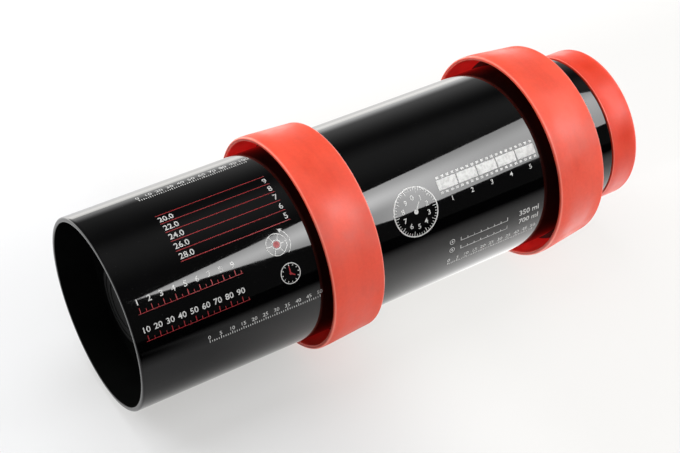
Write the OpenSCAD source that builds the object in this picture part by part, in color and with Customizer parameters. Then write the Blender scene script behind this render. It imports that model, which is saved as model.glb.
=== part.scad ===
// Two-section film developing tank for five spiral reels, lying on its two red rings.
// The tank's axis runs along +X, from the open base recess to the pour cap, and +Z is up.
// The origin lies on the surface below the middle of the tank.

/* [Tank and module] */
// Outer diameter of the tank section
tank_d = 83; // [78:0.2:90]
// How much the extension module is smaller than the tank, on the diameter
module_step = 0.6; // [0:0.1:2]
// Wall of both tubes
tube_wall = 2; // [1.4:0.1:3]
// Depth of the open recess under the tank's floor
recess_depth = 16.6; // [13:0.2:24]
// Rounding of the base rim's outer edge
rim_round = 0.9; // [0.3:0.1:1.2]
// Thickness of the tank's floor and of its core well
floor_t = 2; // [1.4:0.1:3]
// Gap around the core in its well, where the liquid runs out
well_gap = 1.2; // [0.8:0.1:2]
// How far the well stands out of the floor into the recess, as a round boss
boss_h = 5.2; // [4:0.1:8]
// How far the mouth flanges stand out of the tubes
flange_w = 2.1; // [1.8:0.1:4]
// Thickness of the mouth flanges
flange_t = 3; // [2.4:0.1:4]

/* [Seals] */
// Radial width of the flat seals
seal_w = 2.2; // [1.6:0.1:2.6]
// Thickness of the flat seals
seal_t = 1.6; // [1.2:0.1:2]
// Flange left outside the seal groove
seal_land = 0.8; // [0.5:0.1:1]

/* [Rings] */
// Wall of the rings' skirts at the lip
ring_wall = 1.8; // [1.4:0.1:2.6]
// How far a ring's skirt reaches in front of its joint
ring_reach = 15.3; // [10:0.1:20]
// How far the coupling ring runs behind its joint
coupling_tail = 10; // [8:0.1:14]
// How far the lid ring runs behind its joint
lid_tail = 11.2; // [8:0.1:14]
// Straight band behind the rings' lips, before they narrow
ring_land = 3; // [2:0.5:8]
// How much the coupling ring narrows from its band to its back, on the radius
coupling_taper = 1.4; // [0:0.1:2]
// How much the lid ring narrows from its band to its back, on the radius
lid_taper = 2.65; // [0:0.05:3.2]
// Back web and inner sleeve of a ring
ring_web = 1.7; // [1.2:0.1:2.2]
// Corner radius at the back of the coupling ring
coupling_corner = 1.2; // [0.6:0.1:1.8]
// Corner radius at the back of the lid ring
lid_corner = 1.8; // [0.6:0.1:2]

/* [Lid and cap] */
// How much the lid's barrel is smaller than the tank, on the diameter
barrel_step = 3; // [2:0.1:4]
// Wall of the lid, its funnel and its spout
lid_wall = 1.8; // [1.4:0.1:2.4]
// Length of the barrel behind the joint, up to the shoulder
barrel_len = 9; // [7:0.1:11]
// Rounding of the shoulder's edge
shoulder_round = 2.4; // [1:0.1:3]
// Step from the barrel in to the neck, on the radius
shoulder_step = 4.5; // [4:0.1:8]
// Length of the neck that shows between the lid ring and the cap
neck_len = 15.1; // [10:0.1:20]
// How much the neck narrows towards the cap, on the radius
neck_taper = 0.8; // [0:0.1:1.2]
// Step from the neck down to the cap's seat, on the radius
seat_step = 1.2; // [0.8:0.1:2]
// Length of the cap's seat
seat_len = 12.9; // [10:0.1:16]
// How far the spout hangs below the lid's joint face, into the core
spout_drop = 16; // [8:0.5:24]
// Wall of the cap
cap_wall = 1.7; // [1.2:0.1:2.2]
// Seat left bare between the neck and the cap
cap_reveal = 0.4; // [0.3:0.1:2]
// Corner radius at the cap's end
cap_corner = 2.4; // [1:0.1:3]
// Depth of the shallow dish in the cap's end
cap_dish = 0.6; // [0.3:0.1:0.9]
// Depth of the cap's plug ring below its end wall
plug_len = 6.5; // [4:0.1:8]

/* [Core] */
// Outer diameter of the hollow core
core_d = 28; // [27:0.2:29]
// Wall of the core
core_wall = 1.8; // [1.4:0.1:2.2]
// Diameter of the core's foot flange
foot_d = 44; // [36:1:60]
// Height of the foot flange's top over the tank's floor
foot_h = 2.5; // [2.2:0.1:4]
// Thickness of the foot flange and of its ribs
foot_t = 1.2; // [1:0.1:1.6]
// Length of the spigot that joins the two cores
spigot_len = 12; // [8:0.5:20]
// Height of the drain notches at the core's lower end
drain_h = 3; // [2:0.1:4]
// Width of the drain notches
drain_w = 7; // [4:0.1:9]

/* [Reels] */
// Distance from one reel to the next
reel_pitch = 38.5; // [38:0.1:42]
// Thickness of a reel's spokes and rim
spoke_t = 1.2; // [1:0.1:1.6]
// Width of a spoke
spoke_w = 6; // [4:0.5:8]
// Height of the spiral rib over the spokes
rib_h = 1.6; // [1.2:0.1:2]
// Thickness of the spiral rib
rib_t = 0.7; // [0.6:0.1:1]
// Radial step of the spiral from turn to turn
rib_pitch = 1.8; // [1.6:0.1:2.4]
// Wall of the two hub sleeves
hub_wall = 1.5; // [1.2:0.1:1.8]
// Width of the rim around each spiral
rim_w = 1.4; // [1:0.1:2]
// Gap in a rim where the film goes in, in degrees
rim_gap = 24; // [16:1:36]
// How far one half of a reel turns against the other, in degrees
twist = 35; // [20:1:50]
// Width of a hub lug around the hub, in degrees
lug_angle = 14; // [8:1:20]
// Length of a hub lug along the axis
lug_len = 4; // [3:0.1:6]
// Extra turn left at each end of a hub slot, in degrees
slot_play = 1; // [0.5:0.1:2]

/* [Fits] */
// Gap around pieces that slide past each other
slide_gap = 0.35; // [0.2:0.05:0.5]
// Gap around pieces that turn in each other
turn_gap = 0.2; // [0.1:0.05:0.3]
// Gap between stacked or pushed-on pieces
seat_gap = 0.1; // [0.05:0.05:0.2]

/* [Hidden] */

$fn = 128;

// Counts that fix which nodes exist
TANK_REELS = 2;
MODULE_REELS = 3;
SPOKES = 6;
LUGS = 3;
FEET = 4;

// Colours of the materials
BLACK = [0.03, 0.03, 0.035];
RED = [0.86, 0.2, 0.16];
RUBBER = [0.1, 0.1, 0.1];
WHITE = [0.88, 0.87, 0.82];

// How far a drawn-in cut or joint runs past the face that it crosses
over = 0.4;

// Radii of the tubes and of what they hold
tank_r = tank_d / 2;
tank_in = tank_r - tube_wall;
module_r = tank_r - module_step / 2;
module_in = module_r - tube_wall;
flange_r = tank_r + flange_w;
well_r = core_d / 2 + well_gap;
boss_r = well_r + floor_t;

// Stations along the axis, from the rim of the base
boss_z = recess_depth - boss_h;
well_z = boss_z + floor_t;
floor_z = recess_depth + floor_t;
stack_z = floor_z + foot_h;
joint_z = stack_z + TANK_REELS * reel_pitch;
lid_z = joint_z + MODULE_REELS * reel_pitch;
shoulder_z = lid_z + barrel_len;
seat_z = shoulder_z + neck_len;
mouth_z = seat_z + seat_len;
cap_z = seat_z + cap_reveal;
end_z = mouth_z + turn_gap + cap_wall;

// Rings, whose narrowing skirts clear the flanges as far in as the ledge
lid_narrowing = lid_taper * (ring_reach + flange_t) / (ring_reach + lid_tail);
coupling_narrowing = coupling_taper * (ring_reach + flange_t) / (ring_reach + coupling_tail);
ring_in = flange_r + slide_gap + max(lid_narrowing, coupling_narrowing);
ring_r = ring_in + ring_wall;

// Seal grooves
seal_out = flange_r - seal_land;
seal_in = seal_out - seal_w;

// Lid and cap radii
barrel_r = tank_r - barrel_step / 2;
neck_r = barrel_r - shoulder_step;
neck_end = neck_r - neck_taper;
seat_r = neck_end - seat_step;
mouth_r = seat_r - lid_wall;
cap_in = seat_r + seat_gap;
cap_r = cap_in + cap_wall;

// Core radii and stations
core_r = core_d / 2;
core_in = core_r - core_wall;
spout_r = core_in - slide_gap;
spout_in = spout_r - lid_wall;
core_low = well_z + turn_gap;
core_joint = joint_z - spigot_len / 2;
core_top = lid_z - foot_h;

// Reel sizes
reel_r = module_in - 2 * slide_gap;
reel_h = reel_pitch - 2 * seat_gap;
hub_in = core_r + slide_gap;
hub_mid = hub_in + hub_wall;
sleeve_in = hub_mid + turn_gap;
sleeve_r = sleeve_in + hub_wall;
spiral_in = sleeve_r + rib_pitch / 2;
spiral_turns = floor((reel_r - rim_w - spiral_in) / rib_pitch);
lug_z = reel_h / 2;

// Points of an arc, from one angle to another
function arc(x, y, r, from, to, steps = 8) =
    [for (i = [0:steps]) let (a = from + (to - from) * i / steps) [x + r * cos(a), y + r * sin(a)]];

// Lays the upright tank down on its rings, with the middle of its length over the origin
module lay_down() {
    translate([-end_z / 2, 0, ring_r])
        rotate([0, 90, 0])
            children();
}

// Front section: tube, raised floor with the core well, and the mouth flange
module tank_body() {
    color(BLACK) lay_down() rotate_extrude() polygon(concat(
        [
            [tank_in, joint_z], [tank_in, floor_z],
            [well_r, floor_z], [well_r, well_z], [0, well_z],
            [0, boss_z], [boss_r, boss_z], [boss_r, recess_depth], [tank_in, recess_depth], [tank_in, 0]
        ],
        arc(tank_r - rim_round, rim_round, rim_round, -90, 0),
        [[tank_r, joint_z - flange_t], [flange_r, joint_z - flange_t], [flange_r, joint_z]]
    ));
}

// Extension tube with a flange at both ends and a seal groove at its lower end
module module_body() {
    color(BLACK) lay_down() rotate_extrude() polygon([
        [module_in, joint_z], [seal_in, joint_z], [seal_in, joint_z + seal_t],
        [seal_out, joint_z + seal_t], [seal_out, joint_z],
        [flange_r, joint_z], [flange_r, joint_z + flange_t], [module_r, joint_z + flange_t],
        [module_r, lid_z - flange_t], [flange_r, lid_z - flange_t], [flange_r, lid_z],
        [module_in, lid_z]
    ]);
}

// Flat rubber seal in the groove above a joint
module flat_seal(z) {
    color(RUBBER) lay_down() translate([0, 0, z]) difference() {
        cylinder(r = seal_out, h = seal_t);
        translate([0, 0, -over]) cylinder(r = seal_in, h = seal_t + 2 * over);
    }
}

module coupling_seal() { flat_seal(joint_z); }

module lid_seal() { flat_seal(lid_z); }

// Snap ring: a skirt with a round lip and a straight band, which then narrows, a ledge behind the
// flanges and a bored back
module snap_ring(z, tail, taper, narrowing, bore, corner) {
    lip = ring_wall / 2;
    start = z - ring_reach + lip;
    bend = start + ring_land;
    back = z + tail;
    ledge = z + flange_t;
    slope = atan(taper / (back - bend));
    shelf = ring_in - taper;
    corner_r = ring_r - taper * (back - corner - bend) / (back - bend) - corner / cos(slope);
    color(RED) lay_down() rotate_extrude() {
        polygon(concat(
            [[ring_in, start], [ring_r, start], [ring_r, bend]],
            arc(corner_r, back - corner, corner, slope, 90),
            [
                [bore, back], [bore, ledge], [bore + ring_web, ledge],
                [bore + ring_web, back - ring_web], [shelf, back - ring_web],
                [shelf, ledge], [ring_in - narrowing, ledge]
            ]
        ));
        translate([ring_in + lip, start]) circle(r = lip);
    }
}

module coupling_ring() {
    snap_ring(joint_z, coupling_tail, coupling_taper, coupling_narrowing,
        module_r + seat_gap, coupling_corner);
}

module lid_ring() {
    snap_ring(lid_z, lid_tail, lid_taper, lid_narrowing,
        barrel_r + seat_gap, lid_corner);
}

// Lid: flange with its seal groove, barrel, neck, cap seat, and the funnel with its spout
module lid_funnel() {
    throat_z = lid_z + flange_t;
    inner_z = shoulder_z - lid_wall;
    color(BLACK) lay_down() rotate_extrude() polygon(concat(
        [
            [barrel_r - lid_wall, lid_z], [seal_in, lid_z], [seal_in, lid_z + seal_t],
            [seal_out, lid_z + seal_t], [seal_out, lid_z],
            [flange_r, lid_z], [flange_r, throat_z], [barrel_r, throat_z]
        ],
        arc(barrel_r - shoulder_round, shoulder_z - shoulder_round, shoulder_round, 0, 90),
        [
            [neck_r, shoulder_z], [neck_end, seat_z],
            [seat_r, seat_z], [seat_r, mouth_z], [mouth_r, mouth_z], [mouth_r, seat_z + lid_wall],
            [spout_in, throat_z], [spout_in, lid_z - spout_drop],
            [spout_r, lid_z - spout_drop], [spout_r, throat_z - lid_wall / 2], [mouth_r, seat_z - lid_wall],
            [neck_r - lid_wall, inner_z], [barrel_r - lid_wall, inner_z]
        ]
    ));
}

// Push-on cap: skirt over the seat, end wall with a shallow dish, and a plug ring in the mouth
module pour_cap() {
    inner_end = end_z - cap_wall;
    plug_r = mouth_r - slide_gap;
    dish_r = plug_r - cap_wall;
    color(RED) lay_down() rotate_extrude() polygon(concat(
        [
            [0, inner_end], [plug_r - cap_wall, inner_end],
            [plug_r - cap_wall, inner_end - plug_len], [plug_r, inner_end - plug_len],
            [plug_r, inner_end], [cap_in, inner_end], [cap_in, cap_z], [cap_r, cap_z]
        ],
        arc(cap_r - cap_corner, end_z - cap_corner, cap_corner, 0, 90),
        [[dish_r, end_z], [dish_r - cap_dish, end_z - cap_dish], [0, end_z - cap_dish]]
    ));
}

// Lower core: tube that stands in the well, with a foot flange on ribs for the reels
module core_base() {
    flange_low = stack_z - foot_t;
    rib_in_well = well_r - turn_gap;
    color(BLACK) lay_down() difference() {
        union() {
            translate([0, 0, core_low]) cylinder(r = core_r, h = core_joint - core_low);
            translate([0, 0, flange_low]) cylinder(r = foot_d / 2, h = foot_t);
            for (i = [0:FEET - 1]) rotate([0, 0, (i + 0.5) * 360 / FEET]) {
                translate([core_in, -foot_t / 2, core_low])
                    cube([rib_in_well - core_in, foot_t, flange_low + over - core_low]);
                translate([core_in, -foot_t / 2, floor_z + turn_gap])
                    cube([foot_d / 2 - foot_t - core_in, foot_t, flange_low + over - floor_z - turn_gap]);
            }
        }
        translate([0, 0, core_low - over]) cylinder(r = core_in, h = core_joint - core_low + 2 * over);
        for (i = [0:FEET / 2 - 1]) rotate([0, 0, i * 360 / FEET])
            translate([-core_d, -drain_w / 2, core_low - over])
                cube([2 * core_d, drain_w, drain_h + over]);
    }
}

// Upper core: the same tube, with a spigot that plugs into the lower core
module core_extension() {
    spigot_r = core_in - seat_gap;
    spigot_in = spigot_r - core_wall;
    color(BLACK) lay_down() rotate_extrude() polygon([
        [spigot_in, core_joint - spigot_len], [spigot_r, core_joint - spigot_len],
        [spigot_r, core_joint], [core_r, core_joint], [core_r, core_top],
        [core_in, core_top], [core_in, core_joint + core_wall], [spigot_in, core_joint + core_wall]
    ]);
}

// Spiral rib as half turns about two centres, which step outwards by half a pitch each
module spiral_rib(height) {
    for (i = [0:2 * spiral_turns - 1]) {
        side = i % 2;
        translate([(side - 0.5) * rib_pitch / 2, 0, 0]) rotate([0, 0, 180 * side])
            rotate_extrude(angle = 180)
                translate([spiral_in + i * rib_pitch / 2 - rib_t / 2, 0]) square([rib_t, height]);
    }
}

// Open reel face: hub ring, spokes, a rim with a gap where the film goes in, and the spiral rib
module reel_face() {
    rim_r = reel_r - rim_w;
    difference() {
        union() {
            cylinder(r = spiral_in, h = spoke_t);
            for (i = [0:SPOKES - 1]) rotate([0, 0, (i + 0.5) * 360 / SPOKES])
                translate([0, -spoke_w / 2, 0]) cube([rim_r + rim_w / 2, spoke_w, spoke_t]);
            rotate([0, 0, rim_gap / 2]) rotate_extrude(angle = 360 - rim_gap)
                translate([rim_r, 0]) square([rim_w, spoke_t + rib_h]);
            translate([0, 0, spoke_t - over]) spiral_rib(rib_h + over);
        }
        translate([0, 0, -over]) cylinder(r = hub_in, h = spoke_t + rib_h + 2 * over);
    }
}

// Ring sector on the hub, for the lugs and for the slots that they run in
module hub_sector(r_in, r_out, length, from, to) {
    rotate([0, 0, from]) rotate_extrude(angle = to - from)
        translate([r_in, -length / 2]) square([r_out - r_in, length]);
}

// Half of a reel with the inner sleeve and its lugs
module reel_lower(i) {
    color(WHITE) lay_down() translate([0, 0, stack_z + seat_gap + (i - 1) * reel_pitch]) {
        reel_face();
        difference() {
            union() {
                cylinder(r = hub_mid, h = reel_h - spoke_t - turn_gap);
                for (k = [0:LUGS - 1]) translate([0, 0, lug_z])
                    hub_sector(hub_in + hub_wall / 2, sleeve_r - turn_gap, lug_len,
                        k * 360 / LUGS, k * 360 / LUGS + lug_angle);
            }
            translate([0, 0, -over]) cylinder(r = hub_in, h = reel_h);
        }
    }
}

// Half of a reel with the outer sleeve, whose slots let it turn against the lugs
module reel_upper(i) {
    color(WHITE) lay_down() translate([0, 0, stack_z + seat_gap + (i - 1) * reel_pitch]) {
        translate([0, 0, reel_h]) mirror([0, 0, 1]) reel_face();
        difference() {
            translate([0, 0, spoke_t + turn_gap]) cylinder(r = sleeve_r, h = reel_h - spoke_t - turn_gap);
            translate([0, 0, -over]) cylinder(r = sleeve_in, h = reel_h - spoke_t + over);
            cylinder(r = hub_in, h = reel_h + over);
            for (k = [0:LUGS - 1]) translate([0, 0, lug_z])
                hub_sector(hub_mid, sleeve_r + over, lug_len + 2 * turn_gap,
                    k * 360 / LUGS - twist - slot_play, k * 360 / LUGS + lug_angle + slot_play);
        }
    }
}

tank_body();
module_body();
coupling_seal();
coupling_ring();
lid_funnel();
lid_seal();
lid_ring();
pour_cap();
core_base();
core_extension();
for (i = [1:TANK_REELS + MODULE_REELS]) {
    reel_lower(i);
    reel_upper(i);
}
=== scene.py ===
"""Looks of a two-section film developing tank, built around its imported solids."""
import math

import bmesh
import bpy
from mathutils import Matrix, Vector


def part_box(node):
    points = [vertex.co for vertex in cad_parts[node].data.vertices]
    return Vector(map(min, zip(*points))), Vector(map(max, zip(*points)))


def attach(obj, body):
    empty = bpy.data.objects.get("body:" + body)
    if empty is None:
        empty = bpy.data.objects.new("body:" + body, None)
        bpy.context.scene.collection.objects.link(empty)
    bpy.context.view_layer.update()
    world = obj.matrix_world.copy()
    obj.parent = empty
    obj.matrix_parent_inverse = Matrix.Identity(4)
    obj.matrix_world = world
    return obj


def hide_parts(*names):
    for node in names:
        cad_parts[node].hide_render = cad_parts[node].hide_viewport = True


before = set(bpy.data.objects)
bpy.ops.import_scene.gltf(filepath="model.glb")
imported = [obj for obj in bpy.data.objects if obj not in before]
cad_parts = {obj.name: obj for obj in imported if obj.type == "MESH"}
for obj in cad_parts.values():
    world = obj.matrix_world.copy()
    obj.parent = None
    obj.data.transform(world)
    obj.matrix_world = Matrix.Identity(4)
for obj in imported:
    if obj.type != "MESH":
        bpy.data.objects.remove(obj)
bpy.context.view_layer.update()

# Lengths of the object are in millimetres here, and turn into metres where a mesh is made
MM = 0.001

# Fineness of the meshes
SEGMENTS = 256
ARC_STEPS = 6
SHARP_ANGLE = math.radians(38)
ROUND_SHARE = 0.45
SUPPORT = 0.4
SUPPORT_SHARE = 0.15
WELD = 1e-7

# Places along the axis, measured from the rim of the base, and radii, from the solids
BASE_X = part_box("tank_body")[0].x
AXIS_Z = (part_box("tank_body")[0].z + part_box("tank_body")[1].z) / 2


def near_end(node):
    """Station of the end of a solid that lies towards the base."""
    return (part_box(node)[0].x - BASE_X) / MM


def far_end(node):
    """Station of the end of a solid that lies towards the cap."""
    return (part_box(node)[1].x - BASE_X) / MM


def outer_radius(node):
    """Largest radius of a solid around the tank's axis."""
    return (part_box(node)[1].z - AXIS_Z) / MM


JOINT = far_end("tank_body")
LID_JOINT = far_end("module_body")
END = far_end("pour_cap")
FLANGE_R = outer_radius("tank_body")
RING_R = outer_radius("coupling_ring")
CAP_R = outer_radius("pour_cap")
SEAL_OUT = outer_radius("coupling_seal")
SEAL_T = far_end("coupling_seal") - near_end("coupling_seal")

# Sizes that the boxes of the solids don't give
TANK_R = 41.5
MODULE_R = 41.2
TUBE_WALL = 2.0
RECESS = 16.6
FLOOR_T = 2.0
BOSS_Z = 11.4
BOSS_R = 17.2
GROOVE_RADII = (9.6, 13.6)
GROOVE_WIDTH = 1.2
GROOVE_SLOPE = 0.3
GROOVE_DEPTH = 0.4
WELL_R = 15.2
FLANGE_T = 3.0
SEAL_W = 2.2
SEAL_IN = SEAL_OUT - SEAL_W
RING_WALL = 1.8
RING_IN = RING_R - RING_WALL
RING_WEB = 1.7
RING_LAND = 3.0
COUPLING_TAPER = 1.4
LID_TAPER = 2.65
SEAT_GAP = 0.1
BARREL_R = 40.0
BARREL_LEN = 9.0
SHOULDER_Z = LID_JOINT + BARREL_LEN
NECK_R = 35.5
NECK_END_R = 34.7
LID_WALL = 1.8
NECK_LEN = 15.1
SEAT_Z = SHOULDER_Z + NECK_LEN
SEAT_R = 33.5
SEAT_LEN = 12.9
MOUTH_Z = SEAT_Z + SEAT_LEN
MOUTH_R = SEAT_R - LID_WALL
SPOUT_R = 11.85
SPOUT_LEN = 16.0
SPOUT_END = LID_JOINT - SPOUT_LEN
CAP_WALL = 1.7
PLUG_LEN = 6.5
PLUG_GAP = 0.35

# Roundings of edges, from the sharpest to the widest
SHARP = 0
SCORED = 0.1
CRISP = 0.15
SLIGHT = 0.2
NEAT = 0.25
FINE = 0.3
EASED = 0.4
MILD = 0.5
SOFT = 0.6
FULL = 0.7
BROAD = 0.8
LIP_ROUND = 0.85
RIM_ROUND = 0.9
COUPLING_CORNER = 1.2
LID_CORNER = 1.8
FUNNEL_ROUND = 2.0
SHOULDER_ROUND = 2.4
CAP_CORNER = 2.4
THROAT_ROUND = 3.0
LAND_BEND = 60.0


# Meshes

def rounded(corners):
    """Closed outline of (station, radius) points, from corners that each name a rounding radius."""
    points = []
    count = len(corners)
    for index, (station, radius, rounding) in enumerate(corners):
        here = Vector((station, radius))
        before = Vector(corners[index - 1][:2])
        after = Vector(corners[(index + 1) % count][:2])
        if rounding <= 0:
            points.append(here)
            continue
        back = (before - here).normalized()
        ahead = (after - here).normalized()
        half = back.angle(ahead) / 2
        reach = rounding / math.tan(half)
        reach = min(reach, ROUND_SHARE * (before - here).length, ROUND_SHARE * (after - here).length)
        size = reach * math.tan(half)
        centre = here + (back + ahead).normalized() * (size / math.sin(half))
        first = here + back * reach - centre
        turn = first.angle_signed(here + ahead * reach - centre)
        support = min(SUPPORT, SUPPORT_SHARE * (before - here).length)
        points.append(here + back * (reach + support))
        for step in range(ARC_STEPS + 1):
            spin = Matrix.Rotation(-turn * step / ARC_STEPS, 2)
            points.append(centre + spin @ first)
        support = min(SUPPORT, SUPPORT_SHARE * (after - here).length)
        points.append(here + ahead * (reach + support))
    return points


def lathe(name, points):
    """Closed shell of revolution around the tank's axis."""
    mesh = bmesh.new()
    rows = []
    for station, radius in points:
        row = []
        for index in range(SEGMENTS):
            angle = 2 * math.pi * index / SEGMENTS
            across = -radius * math.cos(angle) * MM
            height = AXIS_Z + radius * math.sin(angle) * MM
            row.append(mesh.verts.new((BASE_X + station * MM, across, height)))
        rows.append(row)
    for row, point in enumerate(points):
        following = (row + 1) % len(points)
        if point[1] <= 0 and points[following][1] <= 0:
            continue
        for index in range(SEGMENTS):
            turn = (index + 1) % SEGMENTS
            quad = (rows[row][index], rows[row][turn], rows[following][turn], rows[following][index])
            mesh.faces.new(quad)
    bmesh.ops.remove_doubles(mesh, verts=mesh.verts, dist=WELD)
    bmesh.ops.recalc_face_normals(mesh, faces=mesh.faces)
    return finished_mesh(name, mesh, smooth=True)


def finished_mesh(name, mesh, smooth):
    """Object of a finished bmesh, flat or smooth except at sharp edges."""
    data = bpy.data.meshes.new(name)
    mesh.to_mesh(data)
    mesh.free()
    if smooth:
        data.polygons.foreach_set("use_smooth", [True] * len(data.polygons))
        data.set_sharp_from_angle(angle=SHARP_ANGLE)
    piece = bpy.data.objects.new(name, data)
    bpy.context.scene.collection.objects.link(piece)
    return piece


# Node helpers

def new_material(name):
    """A material with its node tree and its shader."""
    material = bpy.data.materials.new(name)
    material.use_nodes = True
    return material, material.node_tree, material.node_tree.nodes["Principled BSDF"]


def plug(tree, value, socket):
    """Links an output into a socket, or sets a plain value on it."""
    if isinstance(value, bpy.types.NodeSocket):
        tree.links.new(value, socket)
    else:
        socket.default_value = value


def dress(tree, shader, sockets):
    """Links or sets each named socket of a shader."""
    for name, value in sockets.items():
        plug(tree, value, shader.inputs[name])


def maths(tree, operation, first, second=0.0, third=0.0):
    """Result of one sum on up to three values."""
    node = tree.nodes.new("ShaderNodeMath")
    node.operation = operation
    for value, socket in zip((first, second, third), node.inputs):
        plug(tree, value, socket)
    return node.outputs[0]


def times(tree, first, second):
    """Product of two values."""
    return maths(tree, "MULTIPLY", first, second)


def noise(tree, place, scale, detail, roughness=0.5):
    """Cloudy noise, at a scale per unit of its place, with a detail in octaves and a roughness."""
    node = tree.nodes.new("ShaderNodeTexNoise")
    dress(tree, node, {"Vector": place, "Scale": scale, "Detail": detail, "Roughness": roughness})
    return node.outputs["Fac"]


def spread(tree, value, low, high, to_low=0.0, to_high=1.0):
    """Maps a value between two limits smoothly onto two others."""
    node = tree.nodes.new("ShaderNodeMapRange")
    node.interpolation_type = "SMOOTHSTEP"
    limits = {"From Min": low, "From Max": high, "To Min": to_low, "To Max": to_high}
    dress(tree, node, {"Value": value, **limits})
    return node.outputs["Result"]


def patches(tree, place, scale, detail, roughness, limits):
    """Noise cut to patches, between its two limits."""
    return spread(tree, noise(tree, place, scale, detail, roughness), *limits)


def mixed(tree, factor, first, second):
    """Blend of two colours."""
    node = tree.nodes.new("ShaderNodeMix")
    node.data_type = "RGBA"
    dress(tree, node, {"Factor": factor, "A": first, "B": second})
    return node.outputs["Result"]


def bumped(tree, height, strength, distance, below=None):
    """Normal of a bumpy surface, on top of another one where that is given."""
    node = tree.nodes.new("ShaderNodeBump")
    dress(tree, node, {"Strength": strength, "Distance": distance, "Height": height})
    if below is not None:
        tree.links.new(below, node.inputs["Normal"])
    return node.outputs["Normal"]


def object_place(tree):
    """Places on the piece, in metres."""
    return tree.nodes.new("ShaderNodeTexCoord").outputs["Object"]


def parts_of(tree, place):
    """The X, Y and Z of a place."""
    split = tree.nodes.new("ShaderNodeSeparateXYZ")
    tree.links.new(place, split.inputs[0])
    return split.outputs["X"], split.outputs["Y"], split.outputs["Z"]


def turned_place(tree, along, around):
    """Places as (station, angle) about the tank's axis, each with its own scale."""
    station, across, height = parts_of(tree, object_place(tree))
    angle = maths(tree, "ARCTAN2", maths(tree, "SUBTRACT", height, AXIS_Z), across)
    join = tree.nodes.new("ShaderNodeCombineXYZ")
    dress(tree, join, {"X": times(tree, station, along), "Y": times(tree, angle, around)})
    return join.outputs["Vector"]


# Colours of the materials, as linear red, green, blue and one
BLACK_WIPED = (0.0006, 0.0006, 0.0007, 1)
BLACK_SMUDGED = (0.0013, 0.0013, 0.0014, 1)
HAIRLINE_GREY = (0.012, 0.012, 0.013, 1)
DUST_GREY = (0.08, 0.08, 0.078, 1)
RING_LIGHT = (0.68, 0.07, 0.034, 1)
RING_DEEP = (0.585, 0.055, 0.026, 1)
CAP_LIGHT = (0.65, 0.045, 0.017, 1)
CAP_DEEP = (0.57, 0.036, 0.013, 1)
# Painted sheen: a less saturated red laid where the highlight falls on the rings' fronts
PAINTED_SHEEN_RED = (0.42, 0.1, 0.082, 1)
# Pale red of the rims: partly wear from handling and partly a painted edge highlight
WORN_AND_HIGHLIT_RED = (0.9, 0.28, 0.22, 1)
# Colour of the painted glow on the rings' inner walls, standing in for light soaking through
PAINTED_GLOW_RED = (1.0, 0.012, 0.014, 1)
SOIL_TINT = (0.62, 0.7, 0.8)
WHITE_FILM = (0.5, 0.5, 0.49, 1)
WHITE_WORN = (0.36, 0.36, 0.354, 1)
RED_FILM = (0.24, 0.012, 0.016, 1)
RED_WORN = (0.17, 0.008, 0.011, 1)
PINHOLE_BLACK = (0.02, 0.02, 0.02, 1)
CORE_DARK = (0.008, 0.008, 0.009, 1)
CORE_LIGHT = (0.02, 0.02, 0.021, 1)
DRAG_GREY = (0.06, 0.06, 0.06, 1)
RECESS_DARK = (0.0012, 0.0013, 0.0013, 1)
RECESS_LIGHT = (0.004, 0.0042, 0.004, 1)
RUBBER_DARK = (0.012, 0.012, 0.012, 1)
RUBBER_PALE = (0.045, 0.044, 0.042, 1)
REEL_CLEAN = (0.78, 0.775, 0.74, 1)
REEL_YELLOWED = (0.68, 0.655, 0.58, 1)
REEL_STAINED = (0.4, 0.37, 0.33, 1)
FLOOR_LIGHT = (0.345, 0.352, 0.366, 1)
FLOOR_DEEP = (0.325, 0.332, 0.346, 1)
FLOOR_GLOWING = (0.118, 0.121, 0.126, 1)
GLOW_COLOUR = (1.0, 0.985, 0.955, 1)
BLACK = (0.0, 0.0, 0.0, 1)
WHITE = (1.0, 1.0, 1.0, 1)

# Roughness of the gloss, and what smudges, hairlines and dust add
POLISH = 0.045
SMUDGE_DULLING = 0.05
HAIRLINE_DULLING = 0.12
HAIRLINE_SHARE = 0.2
DUST_SHARE = 0.2

# Reds: roughness, shares of the marks, of the painted sheen and of the pale rims (partly a painted edge
# highlight), and limits across a ring, from 0 in its middle to 1 at its ends
RING_GLOSS = (0.36, 0.52)
CAP_GLOSS = (0.32, 0.46)
MOTTLE_SHARE = 0.6
STREAK_SHARE = 0.2
FLECK_SHARE = 0.2
SOIL_SHARE = 0.22
PAINTED_SHEEN_SHARE = 0.45
WEAR_AND_HIGHLIGHT_SHARE = 0.6
WEAR_AND_HIGHLIGHT_START = (0.93, 0.964)
WEAR_AND_HIGHLIGHT_END = (0.999, 0.984)
EDGE_DULLING = 0.2
EDGE_START = (0.25, 0.9)
EDGE_POLISH = (0.88, 0.95, 0.0, 1.1)

# Limits, in metres, of the painted sheen in front and of the painted glow behind and below, with the glow's
# strength
PAINTED_SHEEN_FRONT = (-0.02, -0.034)
PAINTED_SHEEN_BOTTOM = (0.012, 0.027)
PAINTED_SHEEN_TOP = (0.043, 0.03)
PAINTED_GLOW_BEHIND = (0.014, 0.043)
PAINTED_GLOW_BELOW = (-0.016, -0.044)
PAINTED_GLOW_TOWARDS_CAP = (-0.03, 0.06, 0.3, 1.0)
PAINTED_GLOW_STRENGTH = (0.2, 0.36)

# Limits between which most values of a noise lie, the depths of a moulded tooth, and shares of marks
MIDDLE = (0.3, 0.7)
TOOTH_DEPTH = 0.00008
COARSE_DEPTH = 0.0001
DRAG_SHARE = 0.4
STAIN_SHARE = 0.3

# Light from below through the table, along X and towards the back, in metres and strengths
GLOW_ALONG = (-0.1, 0.04)
GLOW_STRENGTH = (0.45, 0.77)
GLOW_BACK = (0.08, 0.6, 0.0, 1.9)


# Materials

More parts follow.
